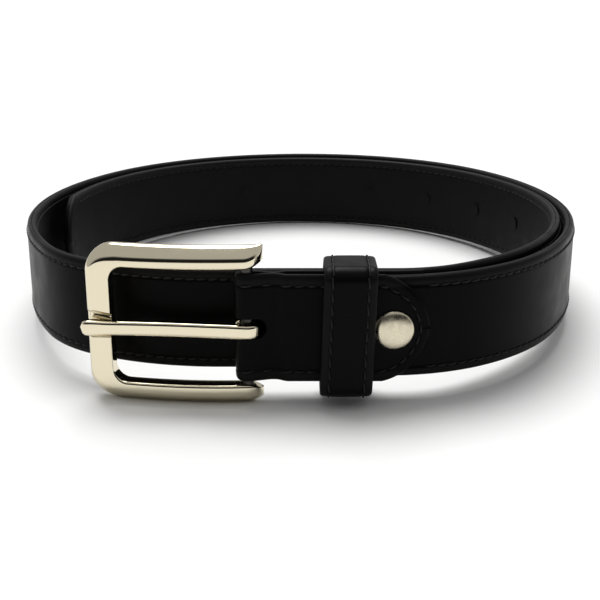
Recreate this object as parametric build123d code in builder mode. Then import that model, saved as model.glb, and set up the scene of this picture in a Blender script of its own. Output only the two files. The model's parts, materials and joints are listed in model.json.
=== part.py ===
"""A gentleman's leather dress belt, coiled in two turns and standing on its edge."""
import os
from math import cos, radians, sin, tan

from build123d import *

os.makedirs("parts", exist_ok=True)

# ---------------------------------------------------------------- driving dimensions, mm
strap_width = 32.0
face_thickness = 1.4
core_thickness = 0.9
core_inset = 1.0
lining_thickness = 1.2
strap_thickness = face_thickness + core_thickness + lining_thickness
thread_proud = 0.25
thread_width = 0.6
stitch_inset = 3.0

# The coil, seen from above, is a chain of straights (length, 0) and arcs (radius, degrees),
# measured on the outer face. It starts inside the chape and turns to the left.
strap_start_x = -4.0
strap_front_y = -111.5
front_run = 30.0
first_turn = [(62, 30), (79, 30), (137, 60), (97, 60), (101, 60), (135, 60), (51, 30), (83, 30)]
lap_run = 55.0
second_turn = [(41, 30), (93, 30), (116, 60), (96, 60), (93, 60), (112, 30)]
tip_run = 4.0
stitched_end_turn = 23
thread_start_x = 40.5

hole_radius = 2.0
hole_pitch = 31.5
hole_count = 6
first_hole_from_tip = 131.4
point_length = 13.0

# The chape: two plies folded round the heel bar, lapping the strap's end front and back.
chape_width = 34.0
ply_face = 1.0
ply_lining = 0.8
ply = ply_face + ply_lining
bar_x = -16.0
bar_radius = 1.9
bar_clearance = 0.1
fold_slope = 16.0
pinch_half = 1.9
pinch_right_x = -7.2
lap_left_x = -4.4
back_lap_turn = 11.0
slot_height = 6.4
slot_right_x = -10.0
tab_hinge_x = 20.5
tab_gap = 0.02
crease_radius = 0.45
tab_shoulder_x = 25.0
tab_bow_x = 34.6
tab_bow_z = 27.4
tab_tip_x = 39.8
tab_turn = 13.2
tab_depth = 12.0
tab_stitch_inset = 3.4

# The snap, on an axis square to the strap. Depths count from the strap's outer face inwards.
snap_x = 28.2
cap_radius = 6.0
cap_height = 1.9
socket_hole_radius = 5.0
socket_radius = 4.8
socket_gap = 0.25
socket_height = 1.1
socket_floor = 0.5
socket_bore = 2.1
stud_radius = 4.6
stud_base = 0.6
stud_boss = 0.6
stud_boss_radius = 1.7
post_radius = 1.4
post_hole_radius = 1.6
post_flange_radius = 4.4
post_flange = 0.6
post_flange_gap = 0.2

# The keeper: a loop of two plies round the chape, the strap and the strap's second turn.
keeper_left_x = 6.6
keeper_width = 15.8
keeper_slack_front = 2.9
keeper_slack_back = 0.7
keeper_top = 36.0
keeper_bottom = -5.2
keeper_corner = 4.5
keeper_stitch_inset = 2.6
staple_crown = 7.0
staple_wire = 0.6

# The buckle: a bowed cast frame open at the right, a steel heel bar and a swinging prong.
# Its own measures run from the bar's axis: along the buckle to the left, and out of its face.
buckle_turn = 6.0
buckle_height = 50.0
buckle_inner_height = 36.6
buckle_left = 49.5
buckle_right = 4.5
side_bar_width = 8.0
outer_corner = 9.0
inner_corner = 4.5
frame_front = 3.0
frame_back = 2.4
frame_bow = 2.0
frame_end_dip = 1.2
bar_length = 44.0
prong_height = 4.4
prong_thickness = 3.2
prong_eye_radius = 4.5
prong_eye_bore = 1.95
prong_reach = 51.0
prong_root = 3.2
prong_crown = 2.5
prong_rest = 4.0
prong_drop = 0.9
notch_height = 7.0
notch_floor = 1.2

# The belt leans back: the buckle's lower arm and the coil's far edge both touch the ground.
lean = 2.35
origin_x = -0.3820
origin_y = 2.8067
lift = 4.5783

# ---------------------------------------------------------------- places
mid_height = strap_width / 2
chape_mid_y = strap_front_y + strap_thickness / 2
chape_front_y = strap_front_y - ply
lean_along = Vector(0, 1).rotate(Axis.Z, -buckle_turn)
belt = Plane(
    origin=(origin_x, origin_y, lift),
    x_dir=(1, 0, 0),
    z_dir=lean_along * sin(radians(lean)) + Vector(0, 0, cos(radians(lean))),
)
coil_runs = [(front_run, 0)] + first_turn + [(lap_run, 0)] + second_turn + [(tip_run, 0)]


def on_belt(plane):
    """The same plane, carried from the upright coil to the leaning one."""
    return Plane(belt.location * plane.location)


def level(height):
    """A horizontal sketch plane of the coil at a height above the strap's lower edge."""
    return on_belt(Plane.XY.offset(height))


def run_length(size, turn):
    """Length of a straight, or of an arc on the outer face."""
    return size * radians(turn) if turn else size


def place_on_coil(distance):
    """A plane at mid height on the outer face, x along the strap and z out of the coil."""
    point = Vector(strap_start_x, strap_front_y)
    heading = 0.0
    for size, turn in coil_runs:
        length = run_length(size, turn)
        share = min(distance / length, 1.0)
        along = Vector(1, 0).rotate(Axis.Z, heading)
        if turn:
            centre = point + along.rotate(Axis.Z, 90) * size
            heading += turn * share
            along = Vector(1, 0).rotate(Axis.Z, heading)
            point = centre - along.rotate(Axis.Z, 90) * size
        else:
            point += along * length * share
        distance -= length * share
        if share < 1.0:
            break
    return Plane(point + Vector(0, 0, mid_height), x_dir=along, z_dir=along.rotate(Axis.Z, -90))


coil_length = sum(run_length(*run) for run in coil_runs)
second_length = sum(run_length(*run) for run in second_turn) + tip_run
lap_front_y = place_on_coil(coil_length - second_length).origin.Y
lap_back_y = lap_front_y + strap_thickness
tip_plane = place_on_coil(coil_length)
snap_plane = place_on_coil(snap_x - strap_start_x)
hole_planes = [
    place_on_coil(coil_length - first_hole_from_tip - hole_pitch * n) for n in range(hole_count)
]
buckle_along = Vector(-1, 0).rotate(Axis.Z, -buckle_turn)
bar_axis = Vector(bar_x, chape_mid_y, mid_height)
buckle_face = Plane(bar_axis, x_dir=buckle_along, z_dir=buckle_along.rotate(Axis.Z, 90))
buckle_top_view = Plane(bar_axis, x_dir=buckle_along, z_dir=(0, 0, 1))


def draw_runs(depth, runs):
    """Draw one surface of the coil, depth inside its outer face, and return its two ends."""
    start = point = Vector(strap_start_x, strap_front_y + depth)
    heading = 0.0
    for size, turn in runs:
        along = Vector(1, 0).rotate(Axis.Z, heading)
        if turn:
            point = JernArc(point, along, size - depth, turn) @ 1
        else:
            point = Line(point, point + along * size) @ 1
        heading += turn
    return start, point


def draw_lap(depth, left_x, turn):
    """Draw a surface that follows the strap's end and the coil's first arc; return its ends."""
    start = Vector(left_x, strap_front_y + depth)
    corner = Line(start, (strap_start_x + front_run, strap_front_y + depth)) @ 1
    return start, JernArc(corner, (1, 0), first_turn[0][0] - depth, turn) @ 1


def draw_fold(depth):
    """Draw one surface of the chape round the bar, depth inside its outer face; return its ends."""
    radius = bar_radius + bar_clearance + ply - depth
    pinch = pinch_half - depth
    lap_half = strap_thickness / 2 + ply - depth
    ends = []
    for side in (-1, 1):
        crown = JernArc((bar_x - radius, chape_mid_y), (0, side), radius, -side * (90 + fold_slope)) @ 1
        run = (abs(crown.Y - chape_mid_y) - pinch) / tan(radians(fold_slope))
        lap_start = Vector(lap_left_x, chape_mid_y + side * lap_half)
        Polyline(
            crown,
            (crown.X + run, chape_mid_y + side * pinch),
            (pinch_right_x, chape_mid_y + side * pinch),
            lap_start,
        )
        if side < 0:
            ends.append(Line(lap_start, (tab_hinge_x, lap_start.Y)) @ 1)
        else:
            ends.append(draw_lap(strap_thickness + ply - depth, lap_left_x, back_lap_turn)[1])
    return ends


def draw_between(draw, near, far, *where):
    """Draw a surface at two depths and close the two ends between them."""
    near_ends = draw(near, *where)
    far_ends = draw(far, *where)
    for near_end, far_end in zip(near_ends, far_ends):
        Line(near_end, far_end)


# ---------------------------------------------------------------- strap
face_end = face_thickness
core_end = face_thickness + core_thickness
for name, near, far, inset, snap_hole in [
    ("strap_face", 0.0, face_end, 0.0, socket_hole_radius),
    ("strap_core", face_end, core_end, core_inset, socket_hole_radius),
    ("strap_lining", core_end, strap_thickness, 0.0, post_hole_radius),
]:
    with BuildPart() as layer:
        with BuildSketch(level(inset)):
            with BuildLine():
                draw_between(draw_runs, near, far, coil_runs)
            make_face()
        extrude(amount=strap_width - 2 * inset)
        # The free end is cut to a point, the same above and below.
        with BuildSketch(on_belt(tip_plane)):
            with BuildLine():
                rising = ThreePointArc((0, 0), (-0.3 * point_length, 9.5), (-point_length, mid_height))
                Polyline(rising @ 1, (-point_length, mid_height + 1), (1, mid_height + 1), (1, 0), (0, 0))
            make_face()
            mirror(about=Plane.XZ)
        extrude(amount=strap_thickness + 1, both=True, mode=Mode.SUBTRACT)
        for hole in hole_planes:
            with BuildSketch(on_belt(hole)):
                Circle(hole_radius)
            extrude(amount=strap_thickness + 1, both=True, mode=Mode.SUBTRACT)
        with BuildSketch(on_belt(snap_plane)):
            Circle(snap_hole)
        extrude(amount=strap_thickness + 1, both=True, mode=Mode.SUBTRACT)
    layer.part.label = name
    export_step(layer.part, f"parts/{name}.step")

# The two stitch rows of each side are plain bands that lie on the leather, from beside the
# chape's tab to the start of the point.
stitched_runs = coil_runs[:-2] + [(second_turn[-1][0], stitched_end_turn)]
for name, near, far in [
    ("strap_needle_thread", -thread_proud, 0.0),
    ("strap_bobbin_thread", strap_thickness, strap_thickness + thread_proud),
]:
    with BuildPart() as thread:
        for row in (stitch_inset, strap_width - stitch_inset):
            with BuildSketch(level(row - thread_width / 2)):
                with BuildLine():
                    draw_between(draw_runs, near, far, stitched_runs)
                make_face()
            extrude(amount=thread_width)
        with BuildSketch(level(-1)):
            with Locations((strap_start_x - 1, strap_front_y - strap_thickness)):
                Rectangle(
                    thread_start_x - strap_start_x,
                    3 * strap_thickness - 0.6,
                    align=(Align.MIN, Align.MIN),
                )
        extrude(amount=strap_width + 2, mode=Mode.SUBTRACT)
    thread.part.label = name
    export_step(thread.part, f"parts/{name}.step")

# ---------------------------------------------------------------- chape
chape_base = mid_height - chape_width / 2
for name, near, far in [("chape_face", 0.0, ply_face), ("chape_lining", ply_face, ply)]:
    with BuildPart() as chape_ply:
        with BuildSketch(level(chape_base)):
            with BuildLine():
                draw_between(draw_fold, near, far)
            make_face()
        extrude(amount=chape_width)
        # An oblong slot in the fold lets the prong through, and the snap's post has a hole.
        with BuildSketch(level(mid_height - slot_height / 2)):
            with Locations((slot_right_x, chape_mid_y)):
                Rectangle(20, 20, align=(Align.MAX, Align.CENTER))
        extrude(amount=slot_height, mode=Mode.SUBTRACT)
        with BuildSketch(on_belt(snap_plane)):
            Circle(post_hole_radius)
        extrude(amount=-strap_thickness - 2 * ply, mode=Mode.SUBTRACT)
        # A crease across the face marks where the tab bends.
        with BuildSketch(level(chape_base)):
            with Locations((tab_hinge_x, chape_front_y)):
                Circle(crease_radius)
        extrude(amount=chape_width, mode=Mode.SUBTRACT)
    chape_ply.part.label = name
    export_step(chape_ply.part, f"parts/{name}.step")

# The stitch rows along the chape's two edges.
with BuildPart() as chape_thread:
    for row in (stitch_inset - 0.4, strap_width - stitch_inset + 0.4):
        with BuildSketch(level(row - thread_width / 2)):
            with Locations((lap_left_x + 0.5, chape_front_y)):
                Rectangle(tab_hinge_x - lap_left_x - 1, thread_proud, align=(Align.MIN, Align.MAX))
        extrude(amount=thread_width)
chape_thread.part.label = "chape_thread"
export_step(chape_thread.part, "parts/chape_thread.step")

# ---------------------------------------------------------------- tab, the chape's free front end
tab_base = Plane.XZ.offset(2 * ply - chape_front_y)
chape_top = mid_height + chape_width / 2


def draw_tab_edge(inset):
    """Draw the tab's rounded point, inset inside its edge, from its shoulder to its middle."""
    return ThreePointArc(
        (tab_shoulder_x - inset / 3, chape_top - inset),
        (tab_bow_x - 0.7 * inset, tab_bow_z - 0.7 * inset),
        (tab_tip_x - inset, mid_height),
    )


for name, near, far in [("tab_face", -ply, -ply_lining), ("tab_lining", -ply_lining, 0.0)]:
    with BuildPart() as tab_ply:
        with BuildSketch(level(chape_base)):
            with BuildLine():
                draw_between(draw_lap, near, far, tab_hinge_x + tab_gap, tab_turn)
            make_face()
        extrude(amount=chape_width)
        with BuildSketch(on_belt(tab_base)):
            with BuildLine():
                rounded = draw_tab_edge(0.0)
                Polyline(rounded @ 0, (0, chape_top), (0, mid_height), rounded @ 1)
            make_face()
            mirror(about=Plane.XZ.offset(-mid_height))
        extrude(amount=-tab_depth, mode=Mode.INTERSECT)
        with BuildSketch(on_belt(snap_plane)):
            Circle(post_hole_radius)
        extrude(amount=2 * ply, both=True, mode=Mode.SUBTRACT)
        with BuildSketch(level(chape_base)):
            with Locations((tab_hinge_x, chape_front_y)):
                Circle(crease_radius)
        extrude(amount=chape_width, mode=Mode.SUBTRACT)
    tab_ply.part.label = name
    export_step(tab_ply.part, f"parts/{name}.step")

# The tab's stitch row follows its edge.
with BuildPart() as tab_thread:
    with BuildSketch(level(0)):
        with BuildLine():
            draw_between(draw_lap, -ply - thread_proud, -ply, tab_hinge_x + tab_gap, tab_turn)
        make_face()
    extrude(amount=strap_width)
    with BuildSketch(on_belt(tab_base)):
        with BuildLine():
            row = draw_tab_edge(tab_stitch_inset)
            Line((0, chape_top - tab_stitch_inset), row @ 0)
        trace(line_width=thread_width)
        mirror(about=Plane.XZ.offset(-mid_height))
    extrude(amount=-tab_depth, mode=Mode.INTERSECT)
tab_thread.part.label = "tab_thread"
export_step(tab_thread.part, "parts/tab_thread.step")

# ---------------------------------------------------------------- snap
snap_face = on_belt(snap_plane)

# Domed cap with its hollow rivet, closed over the tab.
with BuildPart() as snap_cap:
    with BuildSketch(snap_face.offset(ply)):
        Circle(cap_radius)
    extrude(amount=cap_height)
    fillet(snap_cap.edges().group_by(Axis(snap_face.origin, snap_face.z_dir))[-1], cap_height * 0.9)
    with BuildSketch(snap_face.offset(ply)):
        Circle(post_radius)
    extrude(amount=-ply - socket_floor - socket_gap + 0.05)
snap_cap.part.label = "snap_cap"
export_step(snap_cap.part, "parts/snap_cap.step")

# Socket, in the strap's recess behind the tab.
with BuildPart() as snap_socket:
    with BuildSketch(snap_face.offset(-socket_gap)):
        Circle(socket_radius)
    extrude(amount=-socket_height)
    with BuildSketch(snap_face.offset(-socket_gap)):
        Circle(post_radius + 0.05)
    extrude(amount=-socket_height, mode=Mode.SUBTRACT)
    with BuildSketch(snap_face.offset(-socket_gap - socket_floor)):
        Circle(socket_bore)
    extrude(amount=-socket_height, mode=Mode.SUBTRACT)
snap_socket.part.label = "snap_socket"
export_step(snap_socket.part, "parts/snap_socket.step")

# Stud, on the strap's lining, with its boss in the socket.
with BuildPart() as snap_stud:
    with BuildSketch(snap_face.offset(-core_end)):
        Circle(stud_radius)
        Circle(post_radius + 0.05, mode=Mode.SUBTRACT)
    extrude(amount=stud_base)
    with BuildSketch(snap_face.offset(stud_base - core_end)):
        Circle(stud_boss_radius)
    extrude(amount=stud_boss)
snap_stud.part.label = "snap_stud"
export_step(snap_stud.part, "parts/snap_stud.step")

# Eyelet post, from behind the chape's back ply through the strap into the stud.
with BuildPart() as snap_post:
    with BuildSketch(snap_face.offset(-strap_thickness - ply - post_flange_gap)):
        Circle(post_flange_radius)
    extrude(amount=-post_flange)
    with BuildSketch(snap_face.offset(-strap_thickness - ply - post_flange_gap)):
        Circle(post_radius)
    extrude(amount=strap_thickness + ply + post_flange_gap - core_end + stud_base)
snap_post.part.label = "snap_post"
export_step(snap_post.part, "parts/snap_post.step")

# ---------------------------------------------------------------- keeper
keeper_front_y = chape_front_y - keeper_slack_front - ply
keeper_back_y = lap_back_y + keeper_slack_back + ply
keeper_depth = keeper_back_y - keeper_front_y
keeper_height = keeper_top - keeper_bottom
keeper_middle = Vector(
    keeper_left_x,
    (keeper_front_y + keeper_back_y) / 2,
    (keeper_top + keeper_bottom) / 2,
)
keeper_end = Plane(keeper_middle, x_dir=(0, 1, 0), z_dir=(1, 0, 0))
staple_middle = Plane(
    (keeper_left_x + keeper_width / 2, keeper_back_y - ply, keeper_middle.Z),
    x_dir=(1, 0, 0),
    z_dir=(0, 1, 0),
)


def draw_ring(outer_inset, inner_inset):
    """Sketch the keeper's section between two depths inside its outer face."""
    RectangleRounded(
        keeper_depth - 2 * outer_inset,
        keeper_height - 2 * outer_inset,
        keeper_corner - outer_inset,
    )
    RectangleRounded(
        keeper_depth - 2 * inner_inset,
        keeper_height - 2 * inner_inset,
        keeper_corner - inner_inset,
        mode=Mode.SUBTRACT,
    )


for name, near, far in [("keeper_face", 0.0, ply_face), ("keeper_lining", ply_face, ply)]:
    with BuildPart() as keeper_ply:
        with BuildSketch(on_belt(keeper_end)):
            draw_ring(near, far)
        extrude(amount=keeper_width)
        # The staples' legs go through both plies at the back.
        with BuildSketch(on_belt(staple_middle)):
            with GridLocations(keeper_width / 2, staple_crown - staple_wire, 2, 2):
                Rectangle(staple_wire, staple_wire)
        extrude(amount=ply, mode=Mode.SUBTRACT)
    keeper_ply.part.label = name
    export_step(keeper_ply.part, f"parts/{name}.step")

# Two stitch rows run round the loop near its edges.
with BuildPart() as keeper_thread:
    for row in (keeper_stitch_inset, keeper_width - keeper_stitch_inset):
        with BuildSketch(on_belt(keeper_end.offset(row - thread_width / 2))):
            draw_ring(-thread_proud, 0.0)
        extrude(amount=thread_width)
keeper_thread.part.label = "keeper_thread"
export_step(keeper_thread.part, "parts/keeper_thread.step")

# Two wire staples close the loop's butted ends at the back.
with BuildPart() as keeper_staples:
    with BuildSketch(on_belt(staple_middle.offset(ply))):
        with GridLocations(keeper_width / 2, 0, 2, 1):
            Rectangle(staple_wire, staple_crown)
    extrude(amount=staple_wire)
    with BuildSketch(on_belt(staple_middle)):
        with GridLocations(keeper_width / 2, staple_crown - staple_wire, 2, 2):
            Rectangle(staple_wire, staple_wire)
    extrude(amount=ply)
keeper_staples.part.label = "keeper_staples"
export_step(keeper_staples.part, "parts/keeper_staples.step")

# ---------------------------------------------------------------- buckle
buckle_middle = (buckle_left - buckle_right) / 2
buckle_half_length = (buckle_left + buckle_right) / 2
half_height = buckle_height / 2
frame_depth = 3 * (frame_front + frame_back)
window_left = buckle_left - side_bar_width


def draw_bow(offset):
    """Draw the frame's bowed surface, seen from above, offset out of its middle surface."""
    arc = ThreePointArc(
        (-buckle_right - 2, offset - frame_end_dip),
        (buckle_middle, offset + frame_bow),
        (buckle_left + 2, offset - frame_end_dip),
    )
    return arc @ 0, arc @ 1


with BuildPart() as buckle_frame:
    with BuildSketch(on_belt(buckle_face)) as outline:
        with Locations((buckle_middle, 0)):
            Rectangle(2 * buckle_half_length, buckle_height)
        fillet(outline.vertices().group_by(Axis.X)[-1], outer_corner)
    extrude(amount=frame_depth, both=True)
    with BuildSketch(on_belt(buckle_face)) as window:
        with Locations((window_left, 0)):
            Rectangle(2 * buckle_half_length, buckle_inner_height, align=(Align.MAX, Align.CENTER))
        fillet(window.vertices().group_by(Axis.X)[-1], inner_corner)
    extrude(amount=frame_depth, both=True, mode=Mode.SUBTRACT)
    with BuildSketch(on_belt(buckle_top_view)):
        with BuildLine():
            draw_between(draw_bow, -frame_back, frame_front)
        make_face()
    extrude(amount=buckle_height, both=True, mode=Mode.INTERSECT)
    # Sockets for the heel bar, and the notch where the prong rests.
    with BuildSketch(on_belt(buckle_top_view)):
        Circle(bar_radius)
    extrude(amount=bar_length / 2, both=True, mode=Mode.SUBTRACT)
    with BuildSketch(on_belt(buckle_face.offset(notch_floor))):
        with Locations((buckle_left, 0)):
            Rectangle(3 * side_bar_width, notch_height)
    extrude(amount=frame_depth, mode=Mode.SUBTRACT)
buckle_frame.part.label = "buckle_frame"
export_step(buckle_frame.part, "parts/buckle_frame.step")

with BuildPart() as heel_bar:
    with BuildSketch(on_belt(buckle_top_view)):
        Circle(bar_radius)
    extrude(amount=bar_length / 2, both=True)
heel_bar.part.label = "heel_bar"
export_step(heel_bar.part, "parts/heel_bar.step")

# The prong: an eye that turns on the heel bar, and a tongue that dips towards the wearer and
# ends on the frame. It hangs in its slot and notch, a little below the buckle's middle.
with BuildPart() as prong:
    with BuildSketch(on_belt(buckle_top_view.offset(-prong_drop))):
        with BuildLine():
            ThreePointArc((0, prong_root), (prong_reach / 2, prong_crown), (prong_reach, prong_rest))
        trace(line_width=prong_thickness)
        Circle(prong_eye_radius)
        Circle(prong_eye_bore, mode=Mode.SUBTRACT)
    extrude(amount=prong_height / 2, both=True)
prong.part.label = "prong"
export_step(prong.part, "parts/prong.step")
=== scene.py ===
"""A gentleman's black leather dress belt, coiled in two turns on its edge, with a nickel buckle."""
import json
import math

import bmesh
import bpy
import numpy as np
from mathutils import Matrix, Vector


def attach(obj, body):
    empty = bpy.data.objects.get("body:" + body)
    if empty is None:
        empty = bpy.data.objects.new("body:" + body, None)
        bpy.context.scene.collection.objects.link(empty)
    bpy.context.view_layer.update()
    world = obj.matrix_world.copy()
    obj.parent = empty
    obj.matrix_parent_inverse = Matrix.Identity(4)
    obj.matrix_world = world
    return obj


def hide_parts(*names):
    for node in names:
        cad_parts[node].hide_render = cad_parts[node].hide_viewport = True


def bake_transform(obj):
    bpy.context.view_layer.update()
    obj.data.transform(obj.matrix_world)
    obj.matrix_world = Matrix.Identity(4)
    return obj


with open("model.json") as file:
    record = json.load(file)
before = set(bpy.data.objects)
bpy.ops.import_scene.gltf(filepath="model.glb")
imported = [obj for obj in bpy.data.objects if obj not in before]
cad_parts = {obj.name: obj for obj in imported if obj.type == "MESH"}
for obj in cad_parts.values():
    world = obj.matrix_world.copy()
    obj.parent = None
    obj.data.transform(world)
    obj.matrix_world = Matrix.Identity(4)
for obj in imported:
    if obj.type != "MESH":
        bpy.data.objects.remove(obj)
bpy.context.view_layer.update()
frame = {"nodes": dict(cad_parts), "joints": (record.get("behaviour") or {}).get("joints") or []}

# ---------------------------------------------------------------- how the belt stands
# The coil stands on its lower edge and leans back a little, because the buckle is taller than
# the strap. Sizes below are in millimetres of the upright coil: x to the right along its front,
# y from the buckle to its back, z up from the strap's lower edge.
joints = {joint["name"]: joint for joint in frame["joints"]}
STRAP_WIDTH = 32.0
MID_HEIGHT = STRAP_WIDTH / 2
STRAP_THICKNESS = 3.5
STRAP_START_X = -4.0
FRONT_Y = -111.5
HEEL_BAR = (-16.0, FRONT_Y + STRAP_THICKNESS / 2, MID_HEIGHT)

belt_up = Vector(joints["buckle_swing"]["axis"]).normalized()
belt_right = Vector(joints["keeper_slide"]["axis"]).normalized()
belt_axes = np.array([belt_right, belt_up.cross(belt_right), belt_up])
heel_bar_place = np.array(joints["buckle_swing"]["pos_m"])


def stand(points):
    """Carry points of the upright coil, in millimetres, to where the belt stands, in metres."""
    return heel_bar_place + (np.asarray(points, float) - HEEL_BAR) / 1000 @ belt_axes


# ---------------------------------------------------------------- strap
# Black calf over a bonded leather board, with a black calf lining. The three are glued, cut to
# one width, stitched along both edges, and their edges bevelled, burnished and dyed. The strap
# starts inside the chape, goes once round, passes behind its own start and ends in a point.
FRONT_RUN = 30.0
FIRST_TURN = [(62, 30), (79, 30), (137, 60), (97, 60), (101, 60), (135, 60), (51, 30), (83, 30)]
LAP_RUN = 55.0
SECOND_TURN = [(41, 30), (93, 30), (116, 60), (96, 60), (93, 60), (112, 30)]
TIP_RUN = 4.0
FACE_THICKNESS = 1.4
POINT_LENGTH = 13.0
HOLE_RADIUS = 2.0
HOLE_PITCH = 31.5
HOLE_COUNT = 6
FIRST_HOLE_FROM_TIP = 131.4
SNAP_X = 28.2
STITCH_INSET = 3.0
STATION = 2.0


def walk(start, heading, runs, step=0.25):
    """Follow straights (length, 0) and arcs (radius, degrees to the left). Returns the distance
    gone, x, y and heading at points along the line."""
    gone, x, y, facing = [0.0], [start[0]], [start[1]], [math.radians(heading)]
    for size, turn in runs:
        length = size * math.radians(abs(turn)) if turn else size
        count = max(1, math.ceil(length / step))
        half = math.radians(turn) / count / 2
        chord = length / count * (math.sin(half) / half if half else 1.0)
        for _ in range(count):
            x.append(x[-1] + chord * math.cos(facing[-1] + half))
            y.append(y[-1] + chord * math.sin(facing[-1] + half))
            facing.append(facing[-1] + 2 * half)
            gone.append(gone[-1] + length / count)
    return np.array([gone, x, y, facing])


def upright(a, b, across):
    """A line drawn on the ground, with work standing on its edge along it."""
    return np.stack([a, b, MID_HEIGHT + across], -1)


def lay_along(line, turn=upright):
    """Returns the function that lays flat work (distance, across, depth) along a line."""
    gone, x, y, facing = line

    def lay(distance, across, depth):
        angle = np.interp(distance, gone, facing)
        a = np.interp(distance, gone, x) - depth * np.sin(angle)
        b = np.interp(distance, gone, y) + depth * np.cos(angle)
        return stand(turn(a, b, across))

    return lay


def arc_through(first, middle, last, count):
    """Points along the arc through three points."""
    a, b, c = (complex(*point) for point in (first, middle, last))
    w = (c - a) / (b - a)
    centre = (a - b) * (w - abs(w) ** 2) / (2j * w.imag) - a
    centre = -centre
    start = math.atan2((a - centre).imag, (a - centre).real)
    sweep = math.atan2(((c - centre) / (a - centre)).imag, ((c - centre) / (a - centre)).real)
    turn = start + sweep * np.linspace(0, 1, count)
    return centre.real + abs(a - centre) * np.cos(turn), centre.imag + abs(a - centre) * np.sin(turn)


def skin(rings, ring_closed=False, cap_start=False, cap_end=False):
    """A closed mesh over rings of points: an array of rings, points and coordinates."""
    mesh = bmesh.new()
    count, size = rings.shape[:2]
    made = [[mesh.verts.new(point) for point in ring] for ring in rings]
    for i in range(count if ring_closed else count - 1):
        near, far = made[i], made[(i + 1) % count]
        for j in range(size):
            k = (j + 1) % size
            mesh.faces.new((near[j], near[k], far[k], far[j]))
    if cap_start:
        mesh.faces.new(made[0])
    if cap_end:
        mesh.faces.new(made[-1])
    return mesh


def close_up(mesh, merge):
    """Merge points that coincide, drop what collapses and turn the faces outwards."""
    bmesh.ops.remove_doubles(mesh, verts=mesh.verts, dist=merge)
    bmesh.ops.dissolve_degenerate(mesh, edges=mesh.edges, dist=merge / 2)
    loose = [edge for edge in mesh.edges if not edge.link_faces]
    bmesh.ops.delete(mesh, geom=loose, context="EDGES")
    bmesh.ops.recalc_face_normals(mesh, faces=mesh.faces)


def to_object(mesh, name, sharp=38):
    """A smooth-shaded object from a mesh, with edges sharper than an angle left crisp."""
    data = bpy.data.meshes.new(name)
    mesh.to_mesh(data)
    mesh.free()
    data.shade_smooth()
    data.set_sharp_from_angle(angle=math.radians(sharp))
    made = bpy.data.objects.new(name, data)
    bpy.context.scene.collection.objects.link(made)
    return made


def settle(worked):
    """Replace an object that has modifiers with the plain mesh they make."""
    depsgraph = bpy.context.evaluated_depsgraph_get()
    depsgraph.update()
    data = bpy.data.meshes.new_from_object(worked.evaluated_get(depsgraph))
    worked.modifiers.clear()
    worked.data = data
    data.name = worked.name
    return worked


def flat_ply(outline, profile, columns=6):
    """A ply laid flat, as a mesh of (distance, across, depth). The outline gives its half width
    along its length. The profile goes over its edge as (inset, depth, groove)."""
    distance, half = (np.asarray(row, float) for row in outline)
    along, rise = np.gradient(distance), np.gradient(half)
    along[-1], rise[-1] = distance[-1] - distance[-2], half[-1] - half[-2]
    size = np.hypot(along, rise)
    lean_s, lean_v = -rise / size, along / size
    rings = []
    for s, h, ns, nv in zip(distance, half, lean_s, lean_v):
        room = h / max(nv, 1e-6)
        edge = []
        for inset, depth, groove in profile:
            used = min(inset, room)
            pressed = groove if room > inset + 0.6 else 0.0
            edge.append((s - ns * used, max(h - nv * used, 0.0), depth + pressed))
        top = [(edge[0][0], edge[0][1] * t, edge[0][2]) for t in np.linspace(-1, 1, columns + 1)]
        back = [(edge[-1][0], -edge[-1][1] * t, edge[-1][2]) for t in np.linspace(-1, 1, columns + 1)]
        far = edge[1:-1]
        near = [(s2, -v, d) for s2, v, d in reversed(far)]
        rings.append(top + far + back + near)
    return skin(np.array(rings), cap_start=half[0] > 0.01, cap_end=half[-1] > 0.01)


def punch(worked, cutters):
    """Cut flat work with solid cutters, then take the cutters away."""
    for cutter in cutters:
        cut = worked.modifiers.new(cutter.name, "BOOLEAN")
        cut.object = cutter
        cut.operation = "DIFFERENCE"
        cut.solver = "EXACT"
    settle(worked)


def discard(objects):
    """Remove tools that aren't part of the belt."""
    for tool in objects:
        data = tool.data
        bpy.data.objects.remove(tool)
        bpy.data.meshes.remove(data)


def lay_ply(worked, lay, sharp=38):
    """Lay flat work along its line, keeping its flat measures as a UV map in metres."""
    data = worked.data
    flat = np.zeros(len(data.vertices) * 3)
    data.vertices.foreach_get("co", flat)
    flat = flat.reshape(-1, 3)
    corners = np.zeros(len(data.loops), int)
    data.loops.foreach_get("vertex_index", corners)
    uv = data.uv_layers.new(name="lay")
    uv.data.foreach_set("uv", (flat[corners][:, :2] / 1000).astype(np.float32).ravel())
    data.vertices.foreach_set("co", lay(*flat.T).astype(np.float32).ravel())
    mesh = bmesh.new()
    mesh.from_mesh(data)
    close_up(mesh, 2e-6)
    mesh.to_mesh(data)
    mesh.free()
    data.shade_smooth()
    data.set_sharp_from_angle(angle=math.radians(sharp))
    return worked


def round_cutter(name, distance, profile, sides=32):
    """A turned cutter for flat work. Its profile gives (depth, radius)."""
    turn = np.linspace(0, 2 * math.pi, sides, endpoint=False)
    rings = np.array([
        np.stack([distance + r * np.cos(turn), r * np.sin(turn), np.full(sides, d)], -1)
        for d, r in profile
    ])
    mesh = skin(rings, cap_start=True, cap_end=True)
    bmesh.ops.recalc_face_normals(mesh, faces=mesh.faces)
    return to_object(mesh, name)


def linear(colour):
    """An sRGB hex colour as linear red, green, blue and alpha."""
    parts = [int(colour[i:i + 2], 16) / 255 for i in (1, 3, 5)]
    return [p / 12.92 if p <= 0.04045 else ((p + 0.055) / 1.055) ** 2.4 for p in parts] + [1.0]


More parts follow.
